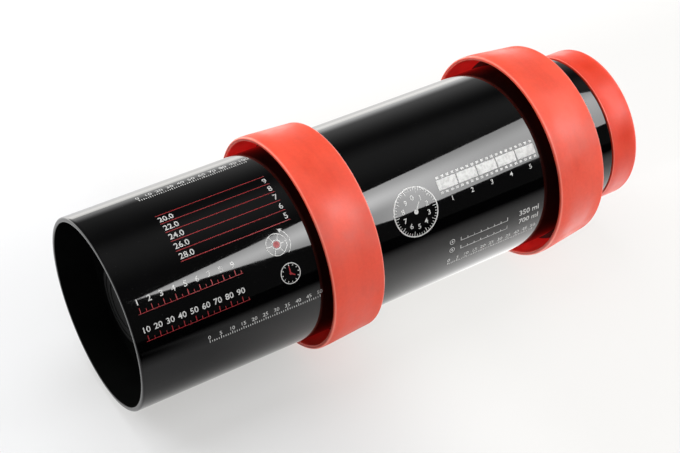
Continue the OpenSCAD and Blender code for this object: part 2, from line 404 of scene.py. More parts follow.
def gloss_black():
    """Moulded black plastic with a high gloss, wiped smudges, hairline rub marks and a little dust."""
    material, tree, shader = new_material("gloss_black_plastic")
    place = object_place(tree)
    smudge = patches(tree, place, 26.0, 5.0, 0.6, limits=(0.48, 0.72))
    rubs = patches(tree, turned_place(tree, 2600.0, 1.6), 1.0, 2.0, 0.5, limits=(0.66, 0.74))
    hairlines = times(tree, rubs, patches(tree, place, 16.0, 2.0, 0.5, limits=(0.5, 0.66)))
    dust = patches(tree, place, 1500.0, 1.0, 0.5, limits=(0.77, 0.81))
    gloss = maths(tree, "MULTIPLY_ADD", smudge, SMUDGE_DULLING, POLISH)
    gloss = maths(tree, "MULTIPLY_ADD", hairlines, HAIRLINE_DULLING, gloss)
    ground = mixed(tree, smudge, BLACK_WIPED, BLACK_SMUDGED)
    marked = mixed(tree, times(tree, hairlines, HAIRLINE_SHARE), ground, HAIRLINE_GREY)
    dusted = mixed(tree, times(tree, dust, DUST_SHARE), marked, DUST_GREY)
    waves = bumped(tree, noise(tree, place, 55.0, 1.0), 0.03, 0.0006)
    peel = bumped(tree, noise(tree, place, 420.0, 2.0), 0.02, 0.0002, waves)
    dress(tree, shader, {"Base Color": dusted, "Roughness": gloss, "Normal": peel, "IOR": 1.5})
    return material


def across_ring(tree):
    """Zero along the middle of a ring's width and one at its two ends."""
    along = parts_of(tree, tree.nodes.new("ShaderNodeTexCoord").outputs["Generated"])[0]
    return maths(tree, "ABSOLUTE", maths(tree, "MULTIPLY_ADD", along, 2.0, -1.0))


def rubbed_share(tree, side):
    """One on the rounded rims at a ring's two ends, where the red is paler, partly from handling and partly
    as a painted edge highlight.
    """
    return times(tree, spread(tree, side, *WEAR_AND_HIGHLIGHT_START), spread(tree, side, *WEAR_AND_HIGHLIGHT_END))


def edge_share(tree, side):
    """Zero along the middle of a ring, one towards its edges, and about zero on the polished corners."""
    return maths(tree, "SUBTRACT", spread(tree, side, *EDGE_START), spread(tree, side, *EDGE_POLISH))


def front_share(tree):
    """One where the rings' skin faces forwards and a little up, where the painted sheen goes, and zero
    elsewhere.
    """
    _, across, height = parts_of(tree, object_place(tree))
    height = maths(tree, "SUBTRACT", height, AXIS_Z)
    raised = times(tree, spread(tree, height, *PAINTED_SHEEN_BOTTOM), spread(tree, height, *PAINTED_SHEEN_TOP))
    return times(tree, spread(tree, across, *PAINTED_SHEEN_FRONT), raised)


def satin_red(name, light, deep, gloss):
    """Satin red plastic, blotched and grained, with a painted sheen in front, pale rims partly worn and
    partly a painted edge highlight, and dull handling marks.
    """
    material, tree, shader = new_material(name)
    place = object_place(tree)
    side = across_ring(tree)
    streaks = noise(tree, turned_place(tree, 420.0, 2.2), 1.0, 3.0)
    flecks = noise(tree, place, 800.0, 2.0, 0.6)
    mottle = noise(tree, place, 38.0, 5.0, 0.62)
    tone = maths(tree, "MULTIPLY_ADD", mottle, MOTTLE_SHARE, times(tree, streaks, STREAK_SHARE))
    tone = maths(tree, "ADD", tone, times(tree, flecks, FLECK_SHARE))
    ground = mixed(tree, spread(tree, tone, 0.36, 0.66), deep, light)
    soil = times(tree, patches(tree, place, 70.0, 6.0, 0.7, limits=(0.6, 0.74)), SOIL_SHARE)
    soil_red = (*(part * tint for part, tint in zip(deep, SOIL_TINT)), 1)
    soiled = mixed(tree, soil, ground, soil_red)
    # Painted sheen: a less saturated red on the rings' fronts, facing forwards and a little up, where a
    # highlight falls
    painted_sheen = patches(tree, place, 110.0, 4.0, 0.6, limits=(*MIDDLE, 0.35, 1.0))
    painted_sheen = times(tree, front_share(tree), painted_sheen)
    with_painted_sheen = mixed(tree, times(tree, painted_sheen, PAINTED_SHEEN_SHARE), soiled, PAINTED_SHEEN_RED)
    # Pale rims: partly wear and partly a painted edge highlight
    worn_and_highlit = mixed(tree, times(tree, rubbed_share(tree, side), WEAR_AND_HIGHLIGHT_SHARE), with_painted_sheen, WORN_AND_HIGHLIT_RED)
    handled = patches(tree, place, 75.0, 3.0, 0.55, limits=(0.34, 0.66, *gloss))
    waves = bumped(tree, noise(tree, place, 90.0, 2.0), 0.08, 0.0005)
    dress(tree, shader, {
        "Base Color": worn_and_highlit,
        "Roughness": maths(tree, "MULTIPLY_ADD", edge_share(tree, side), EDGE_DULLING, handled),
        "Normal": bumped(tree, noise(tree, place, 2600.0, 2.0), 0.06, TOOTH_DEPTH, waves),
        "Subsurface Weight": 0.4,
        "Subsurface Radius": (1.0, 0.12, 0.06),
        "Subsurface Scale": 0.003,
        "IOR": 1.48,
        "Specular IOR Level": 0.44,
    })
    return material


def soaked_red(name, light, deep, gloss):
    """Red of the rings' inner walls, with a painted glow behind and below that stands in for light soaking
    through the wall.
    """
    material = satin_red(name, light, deep, gloss)
    tree = material.node_tree
    place = object_place(tree)
    along, across, height = parts_of(tree, place)
    # Painted glow: emission on the inner walls behind and below, in place of light soaking through the wall
    behind = spread(tree, across, *PAINTED_GLOW_BEHIND)
    below = spread(tree, height, *(AXIS_Z + limit for limit in PAINTED_GLOW_BELOW))
    below = times(tree, below, spread(tree, along, *PAINTED_GLOW_TOWARDS_CAP))
    cloud = patches(tree, place, 60.0, 3.0, 0.5, limits=(*MIDDLE, *PAINTED_GLOW_STRENGTH))
    dress(tree, tree.nodes["Principled BSDF"], {
        "Emission Color": PAINTED_GLOW_RED,
        "Emission Strength": times(tree, maths(tree, "MAXIMUM", behind, below), cloud),
    })
    return material


def ink(name, film_colour, worn_colour):
    """Screen-printed ink with an uneven film and tiny pinholes that show the plastic."""
    material, tree, shader = new_material(name)
    place = object_place(tree)
    film = noise(tree, place, 700.0, 3.0, 0.6)
    pinholes = patches(tree, place, 2300.0, 2.0, 0.5, limits=(0.66, 0.74))
    tone = mixed(tree, spread(tree, film, 0.4, 0.68), film_colour, worn_colour)
    dress(tree, shader, {
        "Base Color": mixed(tree, pinholes, tone, PINHOLE_BLACK),
        "Roughness": spread(tree, film, *MIDDLE, 0.3, 0.46),
        "Normal": bumped(tree, film, 0.1, 0.00002),
    })
    return material


def satin_black():
    """Dull black plastic of the core, with drag marks along it."""
    material, tree, shader = new_material("satin_black_plastic")
    place = object_place(tree)
    cloud = noise(tree, place, 45.0, 5.0, 0.6)
    drags = patches(tree, turned_place(tree, 18.0, 60.0), 1.0, 2.0, 0.5, limits=(0.62, 0.74))
    tone = mixed(tree, cloud, CORE_DARK, CORE_LIGHT)
    dress(tree, shader, {
        "Base Color": mixed(tree, times(tree, drags, DRAG_SHARE), tone, DRAG_GREY),
        "Roughness": spread(tree, cloud, *MIDDLE, 0.28, 0.42),
        "Normal": bumped(tree, noise(tree, place, 1800.0, 2.0), 0.08, TOOTH_DEPTH),
    })
    return material


def recess_black():
    """Unpolished black inside the base, with cloudy dullness and a fine tooth."""
    material, tree, shader = new_material("recess_black_plastic")
    place = object_place(tree)
    cloud = noise(tree, place, 60.0, 4.0, 0.6)
    dress(tree, shader, {
        "Base Color": mixed(tree, cloud, RECESS_DARK, RECESS_LIGHT),
        "Roughness": spread(tree, cloud, *MIDDLE, 0.3, 0.46),
        "Normal": bumped(tree, noise(tree, place, 1400.0, 2.0), 0.08, TOOTH_DEPTH),
        "Specular IOR Level": 0.022,
    })
    return material


def seal_rubber():
    """Matt black rubber with a fine tooth and pale bloom."""
    material, tree, shader = new_material("seal_rubber_moulded")
    place = object_place(tree)
    bloom = patches(tree, place, 120.0, 5.0, 0.6, limits=(0.45, 0.7))
    dress(tree, shader, {
        "Base Color": mixed(tree, bloom, RUBBER_DARK, RUBBER_PALE),
        "Roughness": spread(tree, bloom, 0.0, 1.0, 0.6, 0.78),
        "Normal": bumped(tree, noise(tree, place, 2200.0, 2.0), 0.25, COARSE_DEPTH),
    })
    return material


def reel_white():
    """Waxy white plastic of the reels, yellowed in patches and greyed by use."""
    material, tree, shader = new_material("reel_white_plastic")
    place = object_place(tree)
    age = noise(tree, place, 30.0, 4.0, 0.6)
    stain = times(tree, patches(tree, place, 85.0, 6.0, 0.7, limits=(0.56, 0.75)), STAIN_SHARE)
    tone = mixed(tree, spread(tree, age, 0.35, 0.68), REEL_CLEAN, REEL_YELLOWED)
    dress(tree, shader, {
        "Base Color": mixed(tree, stain, tone, REEL_STAINED),
        "Roughness": spread(tree, age, *MIDDLE, 0.32, 0.46),
        "Normal": bumped(tree, noise(tree, place, 1500.0, 2.0), 0.06, TOOTH_DEPTH),
        "Subsurface Weight": 0.2,
        "Subsurface Radius": (1.0, 0.9, 0.7),
        "Subsurface Scale": 0.001,
    })
    return material


def pale_floor():
    """Matt white table top with a faint tooth, lit from below, most of all towards the cap and the back."""
    material, tree, shader = new_material("pale_table")
    place = object_place(tree)
    along, across, _ = parts_of(tree, place)
    lit = spread(tree, along, *GLOW_ALONG)
    glow = spread(tree, lit, 0.0, 1.0, *GLOW_STRENGTH)
    tone = mixed(tree, noise(tree, place, 6.0, 3.0), FLOOR_LIGHT, FLOOR_DEEP)
    dress(tree, shader, {
        "Base Color": mixed(tree, lit, tone, FLOOR_GLOWING),
        "Roughness": 0.7,
        "Specular IOR Level": 0.2,
        "Normal": bumped(tree, noise(tree, place, 900.0, 2.0), 0.03, COARSE_DEPTH),
        "Emission Color": GLOW_COLOUR,
        "Emission Strength": maths(tree, "ADD", glow, spread(tree, across, *GLOW_BACK)),
    })
    material.cycles.emission_sampling = "NONE"
    return material


GLOSS_BLACK = gloss_black()
RING_RED = satin_red("ring_red_plastic", RING_LIGHT, RING_DEEP, RING_GLOSS)
RING_INSIDE_GLOW = soaked_red("ring_inside_painted_glow", RING_LIGHT, RING_DEEP, RING_GLOSS)
CAP_RED = satin_red("cap_red_plastic", CAP_LIGHT, CAP_DEEP, CAP_GLOSS)
WHITE_INK = ink("white_ink", WHITE_FILM, WHITE_WORN)
RED_INK = ink("red_ink", RED_FILM, RED_WORN)
SATIN_BLACK = satin_black()
RECESS_BLACK = recess_black()
RUBBER = seal_rubber()
REEL_WHITE = reel_white()


# Moulded shells that stand for the plain solids

def moulded(name, corners, node, body, material):
    """Shell of revolution that stands for a solid and rides on its body."""
    piece = lathe(name, rounded(corners))
    piece.data.materials.append(material)
    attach(piece, body)
    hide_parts(node)
    return piece


def boss_grooves():
    """Corners of the fine round grooves in the boss."""
    corners = []
    bed = BOSS_Z + GROOVE_DEPTH
    for near in GROOVE_RADII:
        far = near + GROOVE_WIDTH
        corners += [
            (BOSS_Z, near, SCORED), (bed, near + GROOVE_SLOPE, SCORED),
            (bed, far - GROOVE_SLOPE, SCORED), (BOSS_Z, far, SCORED),
        ]
    return corners


def tank_corners():
    """Outline of the tank, with its recess and boss, core well and mouth flange."""
    inner = TANK_R - TUBE_WALL
    well = BOSS_Z + FLOOR_T
    floor = RECESS + FLOOR_T
    flange = JOINT - FLANGE_T
    return [
        (0, inner, FINE), (0, TANK_R, RIM_ROUND),
        (flange, TANK_R, SOFT), (flange, FLANGE_R, EASED), (JOINT, FLANGE_R, CRISP),
        (JOINT, inner, FINE), (floor, inner, BROAD),
        (floor, WELL_R, FINE), (well, WELL_R, EASED), (well, 0, SHARP),
        (BOSS_Z, 0, SHARP), *boss_grooves(), (BOSS_Z, BOSS_R, FULL),
        (RECESS, BOSS_R, FINE), (RECESS, inner, FINE),
    ]


def seal_groove(joint):
    """Corners of the square groove for the seal in a joint's face."""
    bed = joint + SEAL_T
    return [
        (joint, SEAL_IN, SHARP), (bed, SEAL_IN, SHARP),
        (bed, SEAL_OUT, SHARP), (joint, SEAL_OUT, SHARP),
    ]


def module_corners():
    """Outline of the extension module, a tube with a flange at each end."""
    inner = MODULE_R - TUBE_WALL
    near_flange = JOINT + FLANGE_T
    far_flange = LID_JOINT - FLANGE_T
    return [
        (JOINT, inner, FINE), *seal_groove(JOINT), (JOINT, FLANGE_R, CRISP),
        (near_flange, FLANGE_R, EASED), (near_flange, MODULE_R, MILD),
        (far_flange, MODULE_R, SOFT), (far_flange, FLANGE_R, EASED),
        (LID_JOINT, FLANGE_R, CRISP), (LID_JOINT, inner, FINE),
    ]


def ring_corners(node, joint, bore, taper, corner):
    """Outline of a snap ring: straight band, narrowing skirt, web and sleeve."""
    front = near_end(node)
    back = far_end(node)
    ledge = joint + FLANGE_T
    web = back - RING_WEB
    sleeve = bore + RING_WEB
    shelf = RING_IN - taper
    bend = front + (RING_R - RING_IN) / 2 + RING_LAND
    skirt_end = RING_IN - taper * (ledge - bend) / (back - bend)
    return [
        (front, RING_IN, FULL), (front, RING_R, LIP_ROUND), (bend, RING_R, LAND_BEND),
        (back, RING_R - taper, corner), (back, bore, EASED), (ledge, bore, SLIGHT), (ledge, sleeve, SLIGHT),
        (web, sleeve, EASED), (web, shelf, EASED), (ledge, shelf, CRISP), (ledge, skirt_end, CRISP),
        (bend, RING_IN, LAND_BEND),
    ]


def lid_corners():
    """Outline of the lid: flange, barrel, shoulder, neck, cap seat, funnel and spout."""
    throat = LID_JOINT + FLANGE_T
    spout_in = SPOUT_R - LID_WALL
    under = SHOULDER_Z - LID_WALL
    barrel_in = BARREL_R - LID_WALL
    return [
        (LID_JOINT, barrel_in, SLIGHT), *seal_groove(LID_JOINT), (LID_JOINT, FLANGE_R, CRISP),
        (throat, FLANGE_R, EASED), (throat, BARREL_R, EASED),
        (SHOULDER_Z, BARREL_R, SHOULDER_ROUND), (SHOULDER_Z, NECK_R, BROAD), (SEAT_Z, NECK_END_R, FINE),
        (SEAT_Z, SEAT_R, NEAT), (MOUTH_Z, SEAT_R, MILD), (MOUTH_Z, MOUTH_R, MILD),
        (SEAT_Z + LID_WALL, MOUTH_R, FUNNEL_ROUND), (throat, spout_in, THROAT_ROUND),
        (SPOUT_END, spout_in, EASED), (SPOUT_END, SPOUT_R, EASED),
        (throat - LID_WALL / 2, SPOUT_R, FUNNEL_ROUND), (SEAT_Z - LID_WALL, MOUTH_R, FINE),
        (under, NECK_R - LID_WALL, SOFT), (under, barrel_in, SOFT),
    ]


def cap_corners():
    """Outline of the cap: skirt, dished end and the plug ring inside."""
    front = near_end("pour_cap")
    inner_end = END - CAP_WALL
    plug_end = inner_end - PLUG_LEN
    plug_r = MOUTH_R - PLUG_GAP
    plug_in = plug_r - CAP_WALL
    bore = SEAT_R + SEAT_GAP
    dish = CAP_WALL / 3
    return [
        (inner_end, 0, SHARP), (inner_end, plug_in, MILD), (plug_end, plug_in, EASED),
        (plug_end, plug_r, SOFT), (inner_end, plug_r, FINE), (inner_end, bore, EASED),
        (front, bore, FINE), (front, CAP_R, MILD), (END, CAP_R, CAP_CORNER),
        (END, plug_in, EASED), (END - dish, plug_in - dish, EASED), (END - dish, 0, SHARP),
    ]


# Margins that pick the faces of the recess, and how squarely a face looks at the axis
RECESS_START = 0.3
RECESS_MARGIN = 0.1
FACING_IN = -0.5


def dull_recess(piece):
    """Gives the faces inside the base recess the duller finish of an unpolished mould."""
    piece.data.materials.append(RECESS_BLACK)
    inner = TANK_R - TUBE_WALL + RECESS_MARGIN
    for face in piece.data.polygons:
        station = (face.center.x - BASE_X) / MM
        radius = math.hypot(face.center.y, face.center.z - AXIS_Z) / MM
        if RECESS_START < station < RECESS + RECESS_MARGIN and radius < inner:
            face.material_index = 1


def snap_ring(node, body, joint, bore, taper, corner):
    """Ring whose inner wall, in front of its joint, has the painted glow that stands in for light soaking
    through.
    """
    corners = ring_corners(node, joint, bore + SEAT_GAP, taper, corner)
    piece = moulded(f"{node}_moulding", corners, node, body, RING_RED)
    piece.data.materials.append(RING_INSIDE_GLOW)
    for face in piece.data.polygons:
        station = (face.center.x - BASE_X) / MM
        outwards = Vector((0.0, face.center.y, face.center.z - AXIS_Z)).normalized()
        if station < joint and face.normal.dot(outwards) < FACING_IN:
            face.material_index = 1


dull_recess(moulded("tank_moulding", tank_corners(), "tank_body", "tank", GLOSS_BLACK))
moulded("module_moulding", module_corners(), "module_body", "module", GLOSS_BLACK)
snap_ring("coupling_ring", "module", JOINT, MODULE_R, COUPLING_TAPER, COUPLING_CORNER)
snap_ring("lid_ring", "lid", LID_JOINT, BARREL_R, LID_TAPER, LID_CORNER)
moulded("lid_moulding", lid_corners(), "lid_funnel", "lid", GLOSS_BLACK)
moulded("cap_moulding", cap_corners(), "pour_cap", "cap", CAP_RED)

# Solids that stay as they are, with their finishes
FINISHES = {
    "coupling_seal": RUBBER,
    "lid_seal": RUBBER,
    "core_base": SATIN_BLACK,
    "core_extension": SATIN_BLACK,
}
for name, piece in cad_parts.items():
    finish = REEL_WHITE if name.startswith("reel") else FINISHES.get(name)
    if finish is not None:
        piece.data.materials.clear()
        piece.data.materials.append(finish)


# Print on the tubes, drawn flat as (way from the print's start, arc from the front line) and then wrapped

PRINT_TO_JOINT = 97.5
PRINT_START = JOINT - PRINT_TO_JOINT
INK_LOW = -0.03
INK_HIGH = 0.04
INK_WELD = 1e-5
WRAP_STEP = 1.4
WRAP_NEAR = 1e-6
ARC_DEGREES = 9

# Figures, and the height that they have in the font's own units
FONT_HEIGHT = 0.73
FIGURE_STRETCH = 1.1
FIGURE_STEPS = 3
LIGHT_WEIGHT = 0.03
PLAIN_WEIGHT = 0.04
BOLD_WEIGHT = 0.05

# Half the width of a hairline, and the rulers
HAIR = 0.15
RULER_TICKS = 51
LONG_EVERY = 5
RULER_LONG = 1.6
RULER_FIGURES = 2.2

# Ruled chart
CHART_START = 27.2
CHART_END = 75.8
CHART_LOW = 38.8
CHART_STEP = 4.46
CHART_ROWS = ((28, 5), (26, 6), (24, 7), (22, 8), (20, 9))
CHART_FIGURE = 2.5
CHART_LIFT = 0.9
CHART_INSET = 0.2

# Numbered scales, with heights below the foot of their figures
SCALE_START = 5.0
SCALE_STEP = 5.1
SCALE_FIGURES = 9
SCALE_FIGURE = 2.4
SCALE_LEAD = 1.0
SCALE_STEPS = 8.6
SCALE_LINE = 3.6
TICK_FOOT = 3.4
SHORT_TICK = 2.2
LONG_TICK = 1.2
SHORT_TICK_HALF = 0.12
LONG_TICK_HALF = 0.16

# Reel mark and clock mark, whose hub, bore and clock ticks are shares of the radius
REEL_LINE = 0.32
REEL_HUB = 0.42
REEL_BORE = 0.16
REEL_BORE_LINE = 0.3
REEL_SPOKES = 6
ARROW_OUT = 1.6
ARROW_HALF = 50
ARROW_LENGTH = 1.6
ARROW_WIDTH = 1.7
ARROW_TIP = 0.06
CLOCK_LINE = 0.34
HOURS = 12
CLOCK_TICK = (0.76, 0.9)
CLOCK_TICK_LINE = 0.3
CLOCK_PIN = (0.3, 0.5)

# Clock hands: degrees, share of the radius, and widths at the pin and the tip
CLOCK_HANDS = ((90, 0.7, 0.6, 0.3), (-35, 0.5, 0.6, 0.4))

# Dial
DIAL_LINE = 0.5
DIAL_TICKS = 50
DIAL_TICK_LINE = 0.22
DIAL_LONG = 2.2
DIAL_SHORT = 1.3
DIAL_TICK_IN = 0.2
DIGITS = 10
DIAL_FIGURE = 2.2
DIAL_FIGURES_IN = 4.2
POINTER_DEGREES = 54
POINTER_START = 1.0
POINTER_IN = 5.8
POINTER_WIDTH = 0.9
POINTER_TIP = 0.15
DIAL_PIN = (0.55, 0.9)

# Strip of film
FILM_STEP = 10.2
FILM_GAP = 0.6
FILM_HIGH = 4.4
FILM_FIGURE = 2.1
FILM_FIGURES_BELOW = 5.6
HOLES = 4
HOLE_INSET = 0.45
HOLE_WIDE = 1.3
HOLE_HIGH = 1.0
HOLE_ROWS = (-1.6, 5.0)

# Volume rows
VOLUME_MARK = 144.5
VOLUME_MARK_LIFT = 1.1
VOLUME_RINGS = ((1.2, 0.26), (0.25, 0.4))
VOLUME_START = 149.0
VOLUME_STEP = 3.5
VOLUME_STEPS = 7
VOLUME_LINE = 0.24
VOLUME_LONG = 1.8
VOLUME_SHORT = 1.1
VOLUME_END = 190.5
VOLUME_FIGURE = 2.6


def band(layer, left, right, closed=False):
    """Flat strip of ink between two lines of points."""
    rungs = []
    for ends in zip(left, right):
        rungs.append([layer.verts.new((*end, height)) for height in (INK_HIGH, INK_LOW) for end in ends])
    count = len(rungs)
    for index in range(count if closed else count - 1):
        here = rungs[index]
        there = rungs[(index + 1) % count]
        layer.faces.new((here[0], here[1], there[1], there[0]))
        layer.faces.new((here[2], there[2], there[3], here[3]))
        layer.faces.new((here[0], there[0], there[2], here[2]))
        layer.faces.new((here[1], here[3], there[3], there[1]))
    if not closed:
        for rung in (rungs[0], rungs[-1]):
            layer.faces.new((rung[0], rung[1], rung[3], rung[2]))


def bar(layer, start, end, low, high):
    """Straight block of ink."""
    band(layer, [(start, high), (end, high)], [(start, low), (end, low)])


def arc(layer, station, rise, radius, width, begin=0.0, sweep=360.0):
    """Round line of ink, closed where it goes all the way."""
    closed = sweep >= 360
    steps = int(sweep / ARC_DEGREES)
    outer = []
    inner = []
    for step in range(steps if closed else steps + 1):
        angle = math.radians(begin + sweep * step / steps)
        for line, size in ((outer, radius + width / 2), (inner, radius - width / 2)):
            line.append((station + size * math.cos(angle), rise + size * math.sin(angle)))
    band(layer, outer, inner, closed)


def ray(layer, station, rise, angle, near, far, near_width, far_width):
    """Straight line of ink that points away from a centre, and may narrow to a tip."""
    ahead = Vector((math.cos(angle), math.sin(angle)))
    side = Vector((-ahead.y, ahead.x))
    centre = Vector((station, rise))
    left = [centre + ahead * near + side * near_width / 2, centre + ahead * far + side * far_width / 2]
    right = [centre + ahead * near - side * near_width / 2, centre + ahead * far - side * far_width / 2]
    band(layer, left, right)


def figures(layer, text, station, rise, height, align, weight=0.0):
    """Plain figures of a given height, thickened by a weight."""
    curve = bpy.data.curves.new("figures", "FONT")
    scale = height / FONT_HEIGHT
    curve.body = text
    curve.align_x = align
    curve.resolution_u = FIGURE_STEPS
    curve.extrude = (INK_HIGH - INK_LOW) / 2 / scale
    curve.offset = weight / scale
    holder = bpy.data.objects.new("figures", curve)
    bpy.context.scene.collection.objects.link(holder)
    graph = bpy.context.evaluated_depsgraph_get()
    shape = bpy.data.meshes.new_from_object(holder.evaluated_get(graph))
    shape.transform(Matrix.Diagonal((scale * FIGURE_STRETCH, scale, scale, 1)))
    shape.transform(Matrix.Translation((station, rise, (INK_HIGH + INK_LOW) / 2)))
    layer.from_mesh(shape)
    bpy.data.objects.remove(holder)
    bpy.data.curves.remove(curve)
    bpy.data.meshes.remove(shape)


def wrap(layer, name, radius, body, material):
    """Bends a flat layer of ink onto a tube and lets it ride there."""
    bmesh.ops.remove_doubles(layer, verts=layer.verts, dist=INK_WELD)
    rises = [vert.co.y for vert in layer.verts]
    for step in range(math.ceil(min(rises) / WRAP_STEP), math.floor(max(rises) / WRAP_STEP) + 1):
        everything = layer.verts[:] + layer.edges[:] + layer.faces[:]
        cut = (0, step * WRAP_STEP, 0)
        bmesh.ops.bisect_plane(layer, geom=everything, dist=WRAP_NEAR, plane_co=cut, plane_no=(0, 1, 0))
    for vert in layer.verts:
        angle = vert.co.y / radius
        distance = (radius + vert.co.z) * MM
        across = -distance * math.cos(angle)
        vert.co = (BASE_X + (PRINT_START + vert.co.x) * MM, across, AXIS_Z + distance * math.sin(angle))
    piece = finished_mesh(name, layer, smooth=False)
    piece.data.materials.append(material)
    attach(piece, body)


def ruler(layer, start, step, rise, tick, figure, unit):
    """Row of fine ticks, with every fifth one longer and numbered."""
    for index in range(RULER_TICKS):
        station = start + index * step
        whole = index % LONG_EVERY == 0
        bar(layer, station - HAIR, station + HAIR, rise, rise + tick * (RULER_LONG if whole else 1.0))
        if whole:
            figures(layer, str(index * unit), station, rise + tick * RULER_FIGURES, figure, "CENTER")


def chart(white, red):
    """Ruled rows with a plain figure at each end."""
    for row in range(len(CHART_ROWS) + 1):
        rise = CHART_LOW + row * CHART_STEP
        bar(red, CHART_START, CHART_END, rise - HAIR, rise + HAIR)
    for row, (first, last) in enumerate(CHART_ROWS):
        rise = CHART_LOW + row * CHART_STEP + CHART_LIFT
        figures(white, f"{first}.0", CHART_START + CHART_INSET, rise, CHART_FIGURE, "LEFT", PLAIN_WEIGHT)
        figures(white, str(last), CHART_END - CHART_INSET, rise, CHART_FIGURE, "RIGHT", PLAIN_WEIGHT)


def numbered_scale(white, red, rise, unit):
    """Nine figures over a red scale with long and short ticks."""
    foot = rise - TICK_FOOT
    for index in range(SCALE_FIGURES):
        station = SCALE_START + index * SCALE_STEP
        between = station + SCALE_STEP / 2
        figures(white, str((index + 1) * unit), station, rise, SCALE_FIGURE, "CENTER", PLAIN_WEIGHT)
        bar(red, station - LONG_TICK_HALF, station + LONG_TICK_HALF, foot, rise - LONG_TICK)
        bar(red, between - SHORT_TICK_HALF, between + SHORT_TICK_HALF, foot, rise - SHORT_TICK)
    bar(red, SCALE_START - SCALE_LEAD, SCALE_START + SCALE_STEPS * SCALE_STEP, rise - SCALE_LINE, foot)


def reel_mark(white, red, station, rise, radius):
    """Mark of a reel seen from its end, with an arrow that turns round it."""
    hub = radius * REEL_HUB
    arc(white, station, rise, radius, REEL_LINE)
    arc(white, station, rise, hub, REEL_LINE)
    arc(red, station, rise, radius * REEL_BORE, radius * REEL_BORE_LINE)
    for spoke in range(REEL_SPOKES):
        angle = math.radians(360 / REEL_SPOKES * spoke)
        ray(white, station, rise, angle, hub, radius, REEL_LINE, REEL_LINE)
    turning = radius + ARROW_OUT
    arc(white, station, rise, turning, REEL_LINE, -ARROW_HALF, 2 * ARROW_HALF)
    tip = math.radians(ARROW_HALF)
    place = Vector((station + turning * math.cos(tip), rise + turning * math.sin(tip)))
    ray(white, place.x, place.y, tip + math.pi / 2, 0, ARROW_LENGTH, ARROW_WIDTH, ARROW_TIP)


def clock_mark(white, red, station, rise, radius):
    """Mark of a clock face with twelve ticks and two hands."""
    near, far = (radius * share for share in CLOCK_TICK)
    arc(white, station, rise, radius, CLOCK_LINE)
    for hour in range(HOURS):
        angle = math.radians(360 / HOURS * hour)
        ray(white, station, rise, angle, near, far, CLOCK_TICK_LINE, CLOCK_TICK_LINE)
    for degrees, reach, width, tip in CLOCK_HANDS:
        ray(red, station, rise, math.radians(degrees), 0, radius * reach, width, tip)
    arc(red, station, rise, *CLOCK_PIN)


def dial(layer, station, rise, radius):
    """Round dial with plain figures from nought to nine and a pointer."""
    arc(layer, station, rise, radius, DIAL_LINE)
    outer = radius - DIAL_TICK_IN
    for tick in range(DIAL_TICKS):
        angle = math.radians(360 / DIAL_TICKS * tick)
        inner = radius - (DIAL_LONG if tick % LONG_EVERY == 0 else DIAL_SHORT)
        ray(layer, station, rise, angle, inner, outer, DIAL_TICK_LINE, DIAL_TICK_LINE)
    for digit in range(DIGITS):
        angle = math.radians(90 - 360 / DIGITS * digit)
        place = Vector((math.cos(angle), math.sin(angle))) * (radius - DIAL_FIGURES_IN)
        foot = rise + place.y - DIAL_FIGURE / 2
        figures(layer, str(digit), station + place.x, foot, DIAL_FIGURE, "CENTER", LIGHT_WEIGHT)
    pointing = math.radians(POINTER_DEGREES)
    ray(layer, station, rise, pointing, POINTER_START, radius - POINTER_IN, POINTER_WIDTH, POINTER_TIP)
    arc(layer, station, rise, *DIAL_PIN)


def film_strip(layer, start, low, frames):
    """Strip of film frames between two rows of holes, with numbers under it."""
    for index in range(frames):
        left = start + index * FILM_STEP
        middle = left + FILM_STEP / 2
        foot = low - FILM_FIGURES_BELOW
        bar(layer, left, left + FILM_STEP - FILM_GAP, low, low + FILM_HIGH)
        figures(layer, str(index + 1), middle, foot, FILM_FIGURE, "CENTER", LIGHT_WEIGHT)
        for hole in range(HOLES):
            edge = left + HOLE_INSET + hole * FILM_STEP / HOLES
            for row in HOLE_ROWS:
                bar(layer, edge, edge + HOLE_WIDE, low + row, low + row + HOLE_HIGH)


def volume_row(layer, rise, amount):
    """Ruled line between a round mark and an amount."""
    for radius, width in VOLUME_RINGS:
        arc(layer, VOLUME_MARK, rise + VOLUME_MARK_LIFT, radius, width)
    bar(layer, VOLUME_START, VOLUME_START + VOLUME_STEPS * VOLUME_STEP, rise, rise + VOLUME_LINE)
    for tick in range(VOLUME_STEPS + 1):
        station = VOLUME_START + tick * VOLUME_STEP
        height = VOLUME_LONG if tick % VOLUME_STEPS == 0 else VOLUME_SHORT
        bar(layer, station - HAIR, station + HAIR, rise, rise + height)
    figures(layer, f"{amount} ml", VOLUME_END, rise, VOLUME_FIGURE, "RIGHT", BOLD_WEIGHT)


def tank_print():
    """Ruler, ruled chart, two scales, two marks and a fine ruler."""
    white = bmesh.new()
    red = bmesh.new()
    ruler(white, start=CHART_START, step=0.96, rise=74.0, tick=1.0, figure=2.2, unit=2)
    chart(white, red)
    numbered_scale(white, red, rise=29.4, unit=1)
    numbered_scale(white, red, rise=18.4, unit=10)
    reel_mark(white, red, station=66.0, rise=31.4, radius=4.4)
    clock_mark(white, red, station=68.0, rise=18.6, radius=4.2)
    ruler(white, start=29.0, step=1.0, rise=3.4, tick=0.8, figure=1.7, unit=1)
    wrap(white, "tank_print_white", TANK_R, "tank", WHITE_INK)
    wrap(red, "tank_print_red", TANK_R, "tank", RED_INK)


def module_print():
    """Dial, strip of film frames, two volumes and a ruler."""
    white = bmesh.new()
    dial(white, station=129.3, rise=22.4, radius=10.4)
    film_strip(white, start=142.5, low=26.9, frames=5)
    volume_row(white, rise=1.6, amount=350)
    volume_row(white, rise=-2.8, amount=700)
    ruler(white, start=143.5, step=0.9, rise=-10.4, tick=0.9, figure=1.9, unit=1)
    wrap(white, "module_print_white", MODULE_R, "module", WHITE_INK)


tank_print()
module_print()


# Table, lights and camera, in metres

